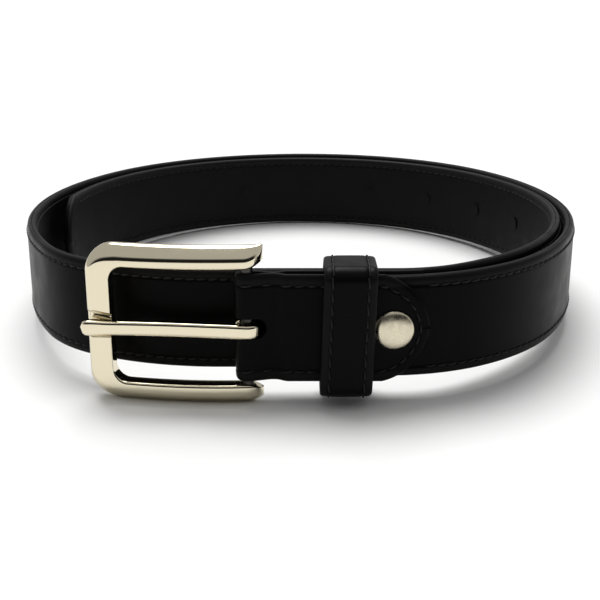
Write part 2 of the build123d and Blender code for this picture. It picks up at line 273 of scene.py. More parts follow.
def add_node(tree, kind, settings=None, **inputs):
    """Add a node, set its properties, and set or link its inputs by name or number."""
    node = tree.nodes.new(kind)
    for name, value in (settings or {}).items():
        setattr(node, name, value)
    for name, value in inputs.items():
        name = name.replace("_", " ")
        key = int(name[2:]) if name.startswith("in") and name[2:].isdigit() else name
        if isinstance(value, bpy.types.NodeSocket):
            tree.links.new(value, node.inputs[key])
        else:
            node.inputs[key].default_value = value
    return node


def new_material(name):
    """An empty material with its shader and output, and its object-space place in metres."""
    material = bpy.data.materials.new(name)
    material.use_nodes = True
    tree = material.node_tree
    tree.nodes.clear()
    shader = add_node(tree, "ShaderNodeBsdfPrincipled")
    add_node(tree, "ShaderNodeOutputMaterial", Surface=shader.outputs["BSDF"])
    place = add_node(tree, "ShaderNodeTexCoord").outputs["Object"]
    return material, tree, shader, place


def dress_leather(name, body_colour, rub_colour, edge_sheen_colour, roughness, cell_mm, grain_mm, edge_mm):
    """Finished leather: dyed through, with a fine creased grain, cloudy gloss and a bevelled border
    lightened as a painted highlight. edge_mm is where that painted highlight starts, across from the middle."""
    material, tree, shader, place = new_material(name)
    cloud = add_node(tree, "ShaderNodeTexNoise", Vector=place, Scale=1 / 0.009, Detail=3.0, Roughness=0.55)
    tone = add_node(tree, "ShaderNodeMix", {"data_type": "RGBA"}, in0=cloud.outputs["Fac"])
    tone.inputs[6].default_value = linear(body_colour)
    tone.inputs[7].default_value = linear(rub_colour)
    laid = add_node(tree, "ShaderNodeUVMap", {"uv_map": "lay"}).outputs["UV"]
    across = add_node(tree, "ShaderNodeSeparateXYZ", Vector=laid).outputs["Y"]
    from_middle = add_node(tree, "ShaderNodeMath", {"operation": "ABSOLUTE"}, in0=across).outputs[0]
    border = add_node(
        tree, "ShaderNodeMapRange", {"interpolation_type": "SMOOTHSTEP"}, in0=from_middle,
        in1=(edge_mm - 0.35) / 1000, in2=(edge_mm + 0.35) / 1000,
    ).outputs[0]
    # Painted highlight: the bevelled border is lightened to stand in for the sheen the bevel catches from the
    # light above.
    edge_sheen_mix = add_node(tree, "ShaderNodeMix", {"data_type": "RGBA"}, in0=border, in6=tone.outputs[2])
    edge_sheen_mix.inputs[7].default_value = linear(edge_sheen_colour)
    tree.links.new(edge_sheen_mix.outputs[2], shader.inputs["Base Color"])
    gloss = add_node(
        tree, "ShaderNodeMapRange", in0=cloud.outputs["Fac"], in1=0.3, in2=0.7,
        in3=roughness - 0.05, in4=roughness + 0.07,
    )
    tree.links.new(gloss.outputs[0], shader.inputs["Roughness"])
    crease = add_node(
        tree, "ShaderNodeTexVoronoi", {"feature": "DISTANCE_TO_EDGE"},
        Vector=place, Scale=1000 / cell_mm, Randomness=1.0,
    )
    plump = add_node(tree, "ShaderNodeMapRange", in0=crease.outputs["Distance"], in1=0.0, in2=0.25)
    pores = add_node(tree, "ShaderNodeTexNoise", Vector=place, Scale=1000 / cell_mm * 2.2, Detail=2.0)
    grain = add_node(
        tree, "ShaderNodeMath", {"operation": "MULTIPLY_ADD"},
        in0=pores.outputs["Fac"], in1=0.5, in2=plump.outputs[0],
    )
    swell = add_node(tree, "ShaderNodeTexNoise", Vector=place, Scale=1 / 0.0045, Detail=2.0)
    soft = add_node(
        tree, "ShaderNodeBump", Strength=0.35, Distance=grain_mm * 3 / 1000, Height=swell.outputs["Fac"],
    )
    fine = add_node(
        tree, "ShaderNodeBump", Strength=0.6, Distance=grain_mm / 1000,
        Height=grain.outputs[0], Normal=soft.outputs[0],
    )
    tree.links.new(fine.outputs[0], shader.inputs["Normal"])
    shader.inputs["IOR"].default_value = 1.5
    return material, shader


# Box calf, drum-dyed black and plated smooth: deep black, a soft gloss that grows towards the
# sides of the coil, and a bevelled border lightened a little as a painted highlight on the bevel.
calf, calf_shader = dress_leather(
    "black_box_calf", "#060606", "#0a0a0a", "#141414", 0.34, 0.9, 0.02, MID_HEIGHT - 2.6
)
calf_shader.inputs["Specular IOR Level"].default_value = 0.04
# Lining calf is drier, with hardly any gloss; its bevelled border is also lightened as a painted highlight.
lining_calf, lining_shader = dress_leather(
    "black_lining_calf", "#0a0a0a", "#101010", "#181818", 0.55, 0.7, 0.03, MID_HEIGHT - 2.4
)
lining_shader.inputs["Specular IOR Level"].default_value = 0.12


def board_leather():
    """Bonded leather board: brown shredded fibre, dyed dark where the edge dye has soaked in."""
    material, tree, shader, place = new_material("bonded_leather_board")
    fibre = add_node(tree, "ShaderNodeTexNoise", Vector=place, Scale=1 / 0.0006, Detail=4.0)
    tone = add_node(tree, "ShaderNodeMix", {"data_type": "RGBA"}, in0=fibre.outputs["Fac"])
    tone.inputs[6].default_value = linear("#17110d")
    tone.inputs[7].default_value = linear("#33251b")
    tree.links.new(tone.outputs[2], shader.inputs["Base Color"])
    rough = add_node(tree, "ShaderNodeBump", Strength=0.8, Distance=0.00005, Height=fibre.outputs["Fac"])
    tree.links.new(rough.outputs[0], shader.inputs["Normal"])
    shader.inputs["Roughness"].default_value = 0.85
    return material


def hand_over(piece, material, body, slot, *nodes):
    """Finish a piece: its material, the body it moves with and the nodes it stands for. The slot argument is
    not used.
    """
    piece.data.materials.clear()
    piece.data.materials.append(material)
    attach(piece, body)
    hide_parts(*nodes)
    return piece


strap_line = walk(
    (STRAP_START_X, FRONT_Y), 0, [(FRONT_RUN, 0)] + FIRST_TURN + [(LAP_RUN, 0)] + SECOND_TURN + [(TIP_RUN, 0)]
)
strap_length = strap_line[0][-1]
lay_strap = lay_along(strap_line)
hole_places = [strap_length - FIRST_HOLE_FROM_TIP - HOLE_PITCH * n for n in range(HOLE_COUNT)]

point_s, point_h = arc_through(
    (-POINT_LENGTH, MID_HEIGHT), (-0.3 * POINT_LENGTH, 9.5), (0.0, 0.0), 26
)
straight_s = np.arange(0, strap_length - POINT_LENGTH, STATION)
strap_outline = (
    np.concatenate([straight_s, strap_length + point_s]),
    np.concatenate([np.full(len(straight_s), MID_HEIGHT), np.maximum(point_h, 0.0)]),
)
SEAM_DEPTH = 1.75
FACE_PROFILE = [
    (4.2, 0.0, 0), (3.5, 0.0, 0), (3.25, 0.0, 0.14), (3.0, 0.0, 0.28), (2.75, 0.02, 0.14), (2.5, 0.03, 0),
    (1.5, 0.09, 0), (0.95, 0.2, 0), (0.5, 0.42, 0), (0.2, 0.75, 0), (0.04, 1.15, 0), (0.0, 1.5, 0),
    (0.05, 1.66, 0), (0.22, SEAM_DEPTH - 0.02, 0), (1.0, SEAM_DEPTH - 0.02, 0), (1.1, FACE_THICKNESS, 0),
]
LINING_PROFILE = [
    (1.1, 2.3, 0), (1.0, SEAM_DEPTH + 0.02, 0), (0.22, SEAM_DEPTH + 0.02, 0), (0.05, 1.84, 0), (0.0, 2.0, 0),
    (0.04, 2.5, 0), (0.2, 2.86, 0), (0.5, 3.16, 0), (0.95, 3.37, 0), (1.5, 3.47, 0), (2.5, 3.5, 0),
    (2.75, 3.5, -0.1), (3.0, 3.5, -0.2), (3.25, 3.5, -0.1), (3.5, 3.5, 0), (4.2, 3.5, 0),
]
BOARD_PROFILE = [(1.15, FACE_THICKNESS + 0.01, 0), (1.15, 2.29, 0)]
hole_profile = [
    (-0.5, 2.75), (0.0, 2.36), (0.2, 2.14), (0.5, HOLE_RADIUS),
    (3.0, HOLE_RADIUS), (3.3, 2.14), (3.5, 2.36), (4.0, 2.75)
]
hole_punches = [round_cutter(f"punch_{n}", s, hole_profile) for n, s in enumerate(hole_places)]
snap_recess = round_cutter("snap_recess", SNAP_X - STRAP_START_X, [(-0.5, 5.0), (2.8, 5.0)])
snap_eyelet = round_cutter("snap_eyelet", SNAP_X - STRAP_START_X, [(1.9, 1.6), (4.0, 1.6)])

board = board_leather()
for name, profile, extra, material, slot, node in [
    ("strap_face_calf", FACE_PROFILE, [snap_recess], calf, "leather_face", "strap_face"),
    ("strap_board", BOARD_PROFILE, [snap_recess], board, "leather_board", "strap_core"),
    ("strap_lining_calf", LINING_PROFILE, [snap_eyelet], lining_calf, "leather_lining", "strap_lining"),
]:
    flat = flat_ply(strap_outline, profile)
    close_up(flat, 0.002)
    ply = to_object(flat, name)
    punch(ply, hole_punches + extra)
    lay_ply(ply, lay_strap)
    hand_over(ply, material, "strap", slot, node)
discard(hole_punches + [snap_recess, snap_eyelet])

# ---------------------------------------------------------------- strap stitches
# Lockstitch in waxed black bonded thread, 3.5 mm to the stitch, sewn in a pressed groove: the
# needle thread shows on the face and the bobbin thread on the lining. Each stitch dips into its
# two holes and lies a few degrees off the row, as a leather needle leaves it.
STITCH_PITCH = 3.5
STITCH_LENGTH = 2.9
THREAD_RADIUS = 0.3
STITCH_START = 44.5
STITCH_END_TURN = 23


def stitch_tree():
    """Sew stitches along a line. The line's attribute 'out' says which way is up from the leather."""
    tree = bpy.data.node_groups.new("sewn_stitches", "GeometryNodeTree")
    face = tree.interface
    face.new_socket("Geometry", in_out="INPUT", socket_type="NodeSocketGeometry")
    for name, value in [
        ("Pitch", STITCH_PITCH / 1000), ("Stitch Length", STITCH_LENGTH / 1000),
        ("Thread Radius", THREAD_RADIUS / 1000), ("Rise", 0.00022), ("Dip", 0.0004), ("Slant", 0.09),
    ]:
        face.new_socket(name, in_out="INPUT", socket_type="NodeSocketFloat").default_value = value
    face.new_socket("Seed", in_out="INPUT", socket_type="NodeSocketInt").default_value = 7
    face.new_socket("Material", in_out="INPUT", socket_type="NodeSocketMaterial")
    face.new_socket("Geometry", in_out="OUTPUT", socket_type="NodeSocketGeometry")
    given = add_node(tree, "NodeGroupInput").outputs
    row = add_node(tree, "GeometryNodeMeshToCurve", Mesh=given["Geometry"])
    spaced = add_node(
        tree, "GeometryNodeResampleCurve", {"mode": "LENGTH"}, Curve=row.outputs[0], Length=given["Pitch"]
    )
    half = add_node(tree, "ShaderNodeMath", {"operation": "MULTIPLY"}, in0=given["Stitch Length"], in1=0.5)
    back = add_node(tree, "ShaderNodeMath", {"operation": "MULTIPLY"}, in0=half.outputs[0], in1=-1.0)
    down = add_node(tree, "ShaderNodeMath", {"operation": "MULTIPLY"}, in0=given["Dip"], in1=-1.0)
    crown = add_node(
        tree, "ShaderNodeMath", {"operation": "MULTIPLY_ADD"}, in0=given["Rise"], in1=2.0, in2=given["Dip"]
    )
    ends = [
        add_node(tree, "ShaderNodeCombineXYZ", X=x, Z=z)
        for x, z in [
            (back.outputs[0], down.outputs[0]), (0.0, crown.outputs[0]), (half.outputs[0], down.outputs[0]),
        ]
    ]
    bow = add_node(
        tree, "GeometryNodeCurveQuadraticBezier", Resolution=6, Start=ends[0].outputs[0],
        Middle=ends[1].outputs[0], End=ends[2].outputs[0],
    )
    section = add_node(tree, "GeometryNodeCurvePrimitiveCircle", Resolution=7, Radius=given["Thread Radius"])
    thread = add_node(
        tree, "GeometryNodeCurveToMesh",
        Curve=bow.outputs[0], Profile_Curve=section.outputs[0], Fill_Caps=True
    )
    out = add_node(tree, "GeometryNodeInputNamedAttribute", {"data_type": "FLOAT_VECTOR"}, Name="out")
    along = add_node(tree, "GeometryNodeInputTangent")
    aim = add_node(
        tree, "FunctionNodeAxesToRotation", {"primary_axis": "Z", "secondary_axis": "X"},
        Primary_Axis=out.outputs[0], Secondary_Axis=along.outputs[0],
    )
    uneven = add_node(tree, "FunctionNodeRandomValue", {"data_type": "FLOAT"}, Seed=given["Seed"])
    uneven.inputs[2].default_value = 0.6
    uneven.inputs[3].default_value = 1.4
    slant = add_node(
        tree, "ShaderNodeMath", {"operation": "MULTIPLY"}, in0=given["Slant"], in1=uneven.outputs[1]
    )
    twist = add_node(tree, "ShaderNodeCombineXYZ", Z=slant.outputs[0])
    turned = add_node(
        tree, "FunctionNodeRotateRotation", {"rotation_space": "LOCAL"},
        Rotation=aim.outputs[0], Rotate_By=twist.outputs[0],
    )
    sewn = add_node(
        tree, "GeometryNodeInstanceOnPoints", Points=spaced.outputs[0],
        Instance=thread.outputs[0], Rotation=turned.outputs[0],
    )
    real = add_node(tree, "GeometryNodeRealizeInstances", Geometry=sewn.outputs[0])
    smooth = add_node(tree, "GeometryNodeSetShadeSmooth", Geometry=real.outputs[0])
    dyed = add_node(
        tree, "GeometryNodeSetMaterial", Geometry=smooth.outputs[0], Material=given["Material"]
    )
    add_node(tree, "NodeGroupOutput", Geometry=dyed.outputs[0])
    return tree


def waxed_thread():
    """Bonded nylon, waxed black: three plies with a short twist and a dull sheen."""
    material, tree, shader, place = new_material("waxed_black_thread")
    twist = add_node(
        tree, "ShaderNodeTexWave", {"bands_direction": "DIAGONAL"},
        Vector=place, Scale=1 / 0.0011, Distortion=1.0
    )
    tone = add_node(tree, "ShaderNodeMix", {"data_type": "RGBA"}, in0=twist.outputs["Fac"])
    tone.inputs[6].default_value = linear("#030303")
    tone.inputs[7].default_value = linear("#0b0b0b")
    tree.links.new(tone.outputs[2], shader.inputs["Base Color"])
    ply = add_node(tree, "ShaderNodeBump", Strength=0.7, Distance=0.00006, Height=twist.outputs["Fac"])
    tree.links.new(ply.outputs[0], shader.inputs["Normal"])
    shader.inputs["Roughness"].default_value = 0.6
    shader.inputs["Specular IOR Level"].default_value = 0.3
    return material


sewing = stitch_tree()
thread_finish = waxed_thread()


def sew(name, lay, rows, depth, outwards, closed=False, **sizes):
    """Sew rows on laid work. Each row is its distances and its places across. Returns the thread."""
    points, outs, edges = [], [], []
    for distance, across in rows:
        distance, across = np.broadcast_arrays(np.asarray(distance, float), np.asarray(across, float))
        first = len(points)
        lower = lay(distance, across, np.full(len(distance), depth))
        higher = lay(distance, across, np.full(len(distance), depth - outwards))
        points.extend(lower)
        outs.extend((higher - lower) / np.linalg.norm(higher - lower, axis=1, keepdims=True))
        edges.extend((first + i, first + i + 1) for i in range(len(distance) - 1))
        if closed:
            edges.append((first + len(distance) - 1, first))
    data = bpy.data.meshes.new(name)
    data.from_pydata([tuple(p) for p in points], edges, [])
    data.attributes.new("out", "FLOAT_VECTOR", "POINT").data.foreach_set(
        "vector", np.array(outs, np.float32).ravel()
    )
    made = bpy.data.objects.new(name, data)
    bpy.context.scene.collection.objects.link(made)
    work = made.modifiers.new("sewing", "NODES")
    work.node_group = sewing
    sockets = {s.name: s.identifier for s in sewing.interface.items_tree if s.in_out == "INPUT"}
    work[sockets["Material"]] = thread_finish
    for size, value in sizes.items():
        work[sockets[size.replace("_", " ")]] = value
    return settle(made)


last_radius, last_turn = SECOND_TURN[-1]
stitch_end = strap_length - TIP_RUN - last_radius * math.radians(last_turn - STITCH_END_TURN)
strap_row = np.arange(STITCH_START, stitch_end, 1.0)
strap_rows = [(strap_row, side * (MID_HEIGHT - STITCH_INSET)) for side in (-1, 1)]
for name, depth, outwards, node in [
    ("strap_needle_stitches", 0.12, 1.0, "strap_needle_thread"),
    ("strap_bobbin_stitches", STRAP_THICKNESS - 0.1, -1.0, "strap_bobbin_thread"),
]:
    hand_over(sew(name, lay_strap, strap_rows, depth, outwards), thread_finish, "strap", "thread", node)

# ---------------------------------------------------------------- chape and tab
# The chape is a strip of calf lined with thin calf. It is folded round the heel bar, pinched
# behind it, and laps the strap's end at front and back. Its front end is a rounded tab that
# isn't sewn down: it lifts to part the snap. A slot in the fold lets the prong through.
CHAPE_WIDTH = 34.0
PLY = 1.8
FOLD_RADIUS = 3.8
FOLD_SLOPE = 16.0
PINCH_HALF = 1.9
LAP_HALF = STRAP_THICKNESS / 2 + PLY
TAB_SHOULDER_X = 25.0
TAB_TIP_X = 39.8
TAB_HINGE_X = 20.5


def round_corners(corners):
    """A line's corners (x, y, radius), as its start, heading, and straights and arcs."""
    points = [complex(x, y) for x, y, _ in corners]
    legs = np.diff(points)
    turns = [0.0] + [math.degrees(np.angle(b / a)) for a, b in zip(legs, legs[1:])] + [0.0]
    takes = [r * math.tan(math.radians(abs(t)) / 2) for (_, _, r), t in zip(corners, turns)]
    runs = []
    for i, leg in enumerate(legs):
        if i:
            runs.append((corners[i][2], turns[i]))
        runs.append((abs(leg) - takes[i] - takes[i + 1], 0))
    return corners[0][:2], math.degrees(np.angle(legs[0])), runs


crown_rise = FOLD_RADIUS * math.tan(math.radians(90 + FOLD_SLOPE) / 2)
fold_left = HEEL_BAR[0] - FOLD_RADIUS
pinch_x = fold_left + (crown_rise - PINCH_HALF) / math.tan(math.radians(FOLD_SLOPE))
lap_end_x = STRAP_START_X + FRONT_RUN
lap_centre_y = FRONT_Y + FIRST_TURN[0][0]
back_radius = FIRST_TURN[0][0] - STRAP_THICKNESS - PLY
front_radius = FIRST_TURN[0][0] + PLY


def lap_corners(side, radius, turn):
    """Where the lap's outer surface turns to follow the coil, and its end."""
    y = HEEL_BAR[1] + side * LAP_HALF
    half, whole = math.radians(turn / 2), math.radians(turn)
    end = (lap_end_x + radius * math.sin(whole), lap_centre_y - radius * math.cos(whole), 0)
    return [(lap_end_x + radius * math.tan(half), y, radius), end]


front_side = [
    (fold_left, HEEL_BAR[1] - crown_rise, FOLD_RADIUS),
    (pinch_x, HEEL_BAR[1] - PINCH_HALF, 1.2),
    (-7.2, HEEL_BAR[1] - PINCH_HALF, 0.8),
    (-4.4, HEEL_BAR[1] - LAP_HALF, 3.0),
] + lap_corners(-1, front_radius, 13.6)
back_side = [(x, 2 * HEEL_BAR[1] - y, r) for x, y, r in front_side[:4]] + lap_corners(1, back_radius, 11.0)
chape_line = walk(*round_corners(back_side[::-1] + front_side), step=0.1)
lay_chape = lay_along(chape_line)


def distance_at(line, x, front):
    """How far along a folded line a place x is, on its front half or its back half."""
    gone = line[0]
    half = gone > gone[-1] * 0.5 if front else gone < gone[-1] * 0.5
    order = np.argsort(line[1][half])
    return float(np.interp(x, line[1][half][order], gone[half][order]))


tab_x, tab_h = arc_through((TAB_SHOULDER_X, CHAPE_WIDTH / 2), (34.6, 11.4), (TAB_TIP_X, 0.0), 40)
shoulder = distance_at(chape_line, TAB_SHOULDER_X, True)
split = distance_at(chape_line, -8.0, False)
front_stations = np.arange(split, shoulder - 0.3, 0.6)
chape_outline = (
    np.concatenate([front_stations, shoulder + tab_x - TAB_SHOULDER_X]),
    np.concatenate([np.full(len(front_stations), CHAPE_WIDTH / 2), np.maximum(tab_h, 0.0)]),
)
back_stations = np.arange(0.0, split - 0.02, 0.8)
back_stations = np.append(back_stations, split - 0.02)
back_outline = (back_stations, np.full(len(back_stations), CHAPE_WIDTH / 2))
CHAPE_FACE_PROFILE = [
    (4.6, 0.0, 0), (3.9, 0.0, 0), (3.65, 0.0, 0.12), (3.4, 0.0, 0.24), (3.15, 0.02, 0.12), (2.9, 0.03, 0),
    (1.6, 0.08, 0), (0.9, 0.2, 0), (0.42, 0.42, 0), (0.14, 0.7, 0), (0.03, 0.86, 0), (0.1, 0.95, 0),
    (0.3, 0.98, 0), (1.6, 0.98, 0),
]
CHAPE_LINING_PROFILE = [
    (1.6, 1.0, 0), (0.3, 1.0, 0), (0.08, 1.04, 0), (0.0, 1.2, 0),
    (0.05, 1.5, 0), (0.25, 1.72, 0), (0.8, PLY, 0),
    (1.6, PLY, 0),
]


def slot_cutter(name, left, right, half_height, count=12):
    """An oblong cutter with round ends, for flat work."""
    turn = np.linspace(-math.pi / 2, math.pi / 2, count)
    s = np.concatenate([
        right - half_height + half_height * np.cos(turn), left + half_height - half_height * np.cos(turn)
    ])
    v = np.concatenate([half_height * np.sin(turn), -half_height * np.sin(turn)])
    rings = np.array([np.stack([s, v, np.full(len(s), d)], -1) for d in (-1.0, 3.0)])
    mesh = skin(rings, cap_start=True, cap_end=True)
    bmesh.ops.recalc_face_normals(mesh, faces=mesh.faces)
    return to_object(mesh, name)


slot_ends = [distance_at(chape_line, -10.0, front) for front in (False, True)]
fold_slot = slot_cutter("fold_slot", *slot_ends, 3.2)
for half_name, outline, cutters in [("front", chape_outline, [fold_slot]), ("back", back_outline, [])]:
    for kind, profile, material, slot in [
        ("calf", CHAPE_FACE_PROFILE, calf, "leather_face"),
        ("lining", CHAPE_LINING_PROFILE, lining_calf, "leather_lining"),
    ]:
        layer = "face" if kind == "calf" else "lining"
        flat = flat_ply(outline, profile, 10)
        close_up(flat, 0.002)
        ply = to_object(flat, f"chape_{half_name}_{kind}")
        if cutters:
            punch(ply, cutters)
        lay_ply(ply, lay_chape)
        if half_name == "back":
            hand_over(ply, material, "strap", slot, f"chape_{layer}")
            continue
        # The front half runs on into the tab, so it stands for both; it is baked in place and attached to no
        # body, so it doesn't bend where the tab lifts.
        ply.data.materials.clear()
        ply.data.materials.append(material)
        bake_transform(ply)
        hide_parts(f"chape_{layer}", f"tab_{layer}")
discard([fold_slot])

# The chape's own rows run along its two edges, and the tab's row follows its rounded edge.
CHAPE_STITCH_INSET = 3.4
row_height = CHAPE_WIDTH / 2 - CHAPE_STITCH_INSET
seam_right = distance_at(chape_line, TAB_HINGE_X - 1.0, True)
fold_row = np.arange(distance_at(chape_line, -16.0, True), distance_at(chape_line, -9.5, True), 0.5)
lap_row = np.arange(distance_at(chape_line, -3.9, True), seam_right, 0.5)
chape_rows = [(row, side * row_height) for row in (fold_row, lap_row) for side in (-1, 1)]
chape_stitches = sew("chape_stitches", lay_chape, chape_rows, 0.08, 1.0)
hand_over(chape_stitches, thread_finish, "strap", "thread", "chape_thread")

inner_x, inner_h = arc_through(
    (TAB_SHOULDER_X - CHAPE_STITCH_INSET / 3, row_height),
    (34.6 - 0.7 * CHAPE_STITCH_INSET, 11.4 - 0.7 * CHAPE_STITCH_INSET),
    (TAB_TIP_X - CHAPE_STITCH_INSET, 0.0), 60,
)
half_s = np.concatenate([
    np.arange(seam_right + 1.6, shoulder - 1.4, 0.4), shoulder + inner_x - TAB_SHOULDER_X
])
half_v = np.concatenate([np.full(len(half_s) - 60, row_height), inner_h])
tab_row = [(np.concatenate([half_s, half_s[-2::-1]]), np.concatenate([half_v, -half_v[-2::-1]]))]
hand_over(sew("tab_stitches", lay_chape, tab_row, 0.08, 1.0), thread_finish, "tab", "thread", "tab_thread")

# ---------------------------------------------------------------- snap
# A line-20 ring snap. The domed cap is pressed steel, satin nickel plated, and its hollow rivet
# is closed over the socket through the tab. The stud's post goes through strap and chape.
CAP_HEIGHT = 1.9


def lathe(profile, origin, axis, side, sides=64):
    """Turn a profile of (radius, height), in millimetres, about an axis through a world point."""
    axis, side = Vector(axis).normalized(), Vector(side).normalized()
    third = axis.cross(side)
    turn = np.linspace(0, 2 * math.pi, sides, endpoint=False)
    rings = []
    for radius, height in profile:
        spoke = np.outer(np.cos(turn), side) + np.outer(np.sin(turn), third)
        rings.append(np.array(origin) + spoke * radius / 1000 + np.array(axis) * height / 1000)
    mesh = skin(np.array(rings), cap_start=profile[0][0] > 0, cap_end=profile[-1][0] > 0)
    close_up(mesh, 1e-6)
    return mesh


def plated(name, colour, roughness, streak_mm, streak):
    """Plated metal: colour, polish and the faint wipe marks that polishing leaves."""
    material, tree, shader, place = new_material(name)
    shader.inputs["Base Color"].default_value = linear(colour)
    shader.inputs["Metallic"].default_value = 1.0
    wipe = add_node(
        tree, "ShaderNodeTexNoise", Vector=place, Scale=1000 / streak_mm, Detail=3.0, Roughness=0.6
    )
    polish = add_node(
        tree, "ShaderNodeMapRange", in0=wipe.outputs["Fac"], in1=0.3, in2=0.75,
        in3=roughness * 0.7, in4=roughness * 1.4,
    )
    tree.links.new(polish.outputs[0], shader.inputs["Roughness"])
    ripple = add_node(
        tree, "ShaderNodeBump", Strength=streak, Distance=0.00004, Height=wipe.outputs["Fac"]
    )
    tree.links.new(ripple.outputs[0], shader.inputs["Normal"])
    return material


snap_s = SNAP_X - STRAP_START_X
snap_place = lay_strap(np.array([snap_s]), np.array([0.0]), np.array([-PLY]))[0]
snap_behind = lay_strap(np.array([snap_s]), np.array([0.0]), np.array([0.0]))[0]
snap_axis = Vector(snap_place - snap_behind)
cap_profile = [
    (0.0, -2.4), (1.35, -2.4), (1.35, -0.3), (5.4, -0.02), (5.75, 0.0), (5.95, 0.16),
    (6.0, 0.42), (5.94, 0.66), (5.75, 0.88), (5.35, 1.14), (4.7, 1.4), (3.8, 1.62),
    (2.8, 1.77), (1.6, 1.87), (0.8, 1.895), (0.0, CAP_HEIGHT),
]
satin_nickel = plated("satin_nickel_plate", "#d6cdb6", 0.3, 2.4, 0.2)
snap_cap = to_object(lathe(cap_profile, snap_place, snap_axis, belt_up), "snap_cap_dome")
hand_over(snap_cap, satin_nickel, "tab", "satin_nickel", "snap_cap")

pressed_brass = plated("pressed_brass", "#c9a869", 0.28, 1.0, 0.3)
for node in ("snap_socket", "snap_stud", "snap_post"):
    solid = frame["nodes"][node]
    solid.data.materials.clear()
    solid.data.materials.append(pressed_brass)

# ---------------------------------------------------------------- keeper
# A loose loop of two plies, 16 mm wide, with a row of stitches near each edge. Its butted ends
# meet at the back, where two wire staples close it. It slides along the strap and the chape.
KEEPER_LEFT_X = 6.6
KEEPER_WIDTH = 15.8
KEEPER_TOP = 36.0
KEEPER_BOTTOM = -5.2
KEEPER_CORNER = 4.5
KEEPER_ASKEW = 0.03
keeper_front_y = FRONT_Y - PLY - 2.9 - PLY
lap_y = float(np.interp(strap_length - TIP_RUN - sum(r * math.radians(t) for r, t in SECOND_TURN),
                        strap_line[0], strap_line[2]))
keeper_back_y = lap_y + STRAP_THICKNESS + 0.7 + PLY
keeper_mid_x = KEEPER_LEFT_X + KEEPER_WIDTH / 2


def round_the_belt(a, b, across):
    """A line drawn on an upright plane, front to back, with work lying across it."""
    return np.stack([keeper_mid_x + across + KEEPER_ASKEW * (b - MID_HEIGHT), a, b], -1)


mid_back = (keeper_back_y, (KEEPER_TOP + KEEPER_BOTTOM) / 2, 0)
ring_corners = [
    mid_back,
    (keeper_back_y, KEEPER_TOP, KEEPER_CORNER), (keeper_front_y, KEEPER_TOP, KEEPER_CORNER),
    (keeper_front_y, KEEPER_BOTTOM, KEEPER_CORNER), (keeper_back_y, KEEPER_BOTTOM, KEEPER_CORNER),
    mid_back,
]
ring_line = walk(*round_corners(ring_corners), step=0.1)
lay_keeper = lay_along(ring_line, round_the_belt)
ring_length = ring_line[0][-1]


def ring_ply(profile, half_width, columns, pad):
    """A closed loop of leather as a mesh of (distance, across, depth), padded in the middle."""
    distance = np.linspace(0, ring_length, 220, endpoint=False)
    across = [(-half_width + profile[0][0]) * t for t in np.linspace(1, -1, columns + 1)]
    loop = [(v, profile[0][1] - pad * (1 - (v / half_width) ** 2)) for v in across]
    edge = [(half_width - inset, depth + groove) for inset, depth, groove in profile[1:-1]]
    loop += edge
    loop += [(-v, profile[-1][1]) for v in across]
    loop += [(-v, d) for v, d in reversed(edge)]
    rings = np.array([[(s, v, d) for v, d in loop] for s in distance])
    return skin(rings, ring_closed=True)


KEEPER_FACE_PROFILE = [
    (3.8, 0.0, 0), (3.1, 0.02, 0), (2.85, 0.02, 0.12), (2.6, 0.02, 0.24), (2.35, 0.03, 0.12), (2.1, 0.05, 0),
    (1.2, 0.1, 0), (0.7, 0.22, 0), (0.32, 0.42, 0), (0.1, 0.68, 0), (0.02, 0.84, 0), (0.08, 0.95, 0),
    (0.3, 0.98, 0), (1.6, 0.98, 0),
]
# The keeper's bevelled border is lightened the same way, as a painted highlight.
calf_keeper, keeper_shader = dress_leather(
    "black_keeper_calf", "#060606", "#0a0a0a", "#141414", 0.34, 0.9, 0.02, KEEPER_WIDTH / 2 - 2.2
)
keeper_shader.inputs["Specular IOR Level"].default_value = 0.05
for name, profile, material, slot, node, pad in [
    ("keeper_calf", KEEPER_FACE_PROFILE, calf_keeper, "leather_face", "keeper_face", 0.12),
    ("keeper_lining_calf", CHAPE_LINING_PROFILE, lining_calf, "leather_lining", "keeper_lining", 0.0),
]:
    flat = ring_ply(profile, KEEPER_WIDTH / 2, 8, pad)
    ply = to_object(flat, name)
    lay_ply(ply, lay_keeper)
    hand_over(ply, material, "keeper", slot, node)

ring_row = np.arange(0.0, ring_length - 0.5, 0.5)
keeper_rows = [(ring_row, side * (KEEPER_WIDTH / 2 - 2.6)) for side in (-1, 1)]
keeper_thread = sew(
    "keeper_stitches", lay_keeper, keeper_rows, 0.08, 1.0, closed=True, Pitch=0.0042, Stitch_Length=0.0034
)
hand_over(keeper_thread, thread_finish, "keeper", "thread", "keeper_thread")

bright_wire = plated("bright_staple_wire", "#b9b6ae", 0.22, 0.8, 0.2)
staples = frame["nodes"]["keeper_staples"]
staples.data.materials.clear()
staples.data.materials.append(bright_wire)

# ---------------------------------------------------------------- buckle frame
# Zinc die casting, ground, polished and nickel plated to a bright, slightly warm mirror. It is
# bowed along its length, its arms slope away to their outer edges, its two right-hand ends
# round off to the back, and a notch in the left bar takes the prong.
BUCKLE_TURN = 6.0
HALF_HEIGHT = 25.0
HALF_INNER = 18.3
BUCKLE_LEFT = 49.5
BUCKLE_RIGHT = 4.5
SIDE_BAR = 8.0
OUTER_CORNER = 9.0
INNER_CORNER = 4.5
FRAME_FRONT = 3.0
FRAME_BACK = 2.4
NOTCH_DEPTH = 1.75
BOW = 2.0
END_DIP = 1.2
buckle_along = np.array([-math.cos(math.radians(BUCKLE_TURN)), math.sin(math.radians(BUCKLE_TURN)), 0])
buckle_out = np.array([-math.sin(math.radians(BUCKLE_TURN)), -math.cos(math.radians(BUCKLE_TURN)), 0])


def on_buckle(u, w, out):
    """A place on the buckle: along it from the heel bar, up from its middle, and out of its face."""
    u, w, out = (np.asarray(value, float)[..., None] for value in (u, w, out))
    return stand(np.array(HEEL_BAR) + u * buckle_along + w * np.array([0, 0, 1.0]) + out * buckle_out)


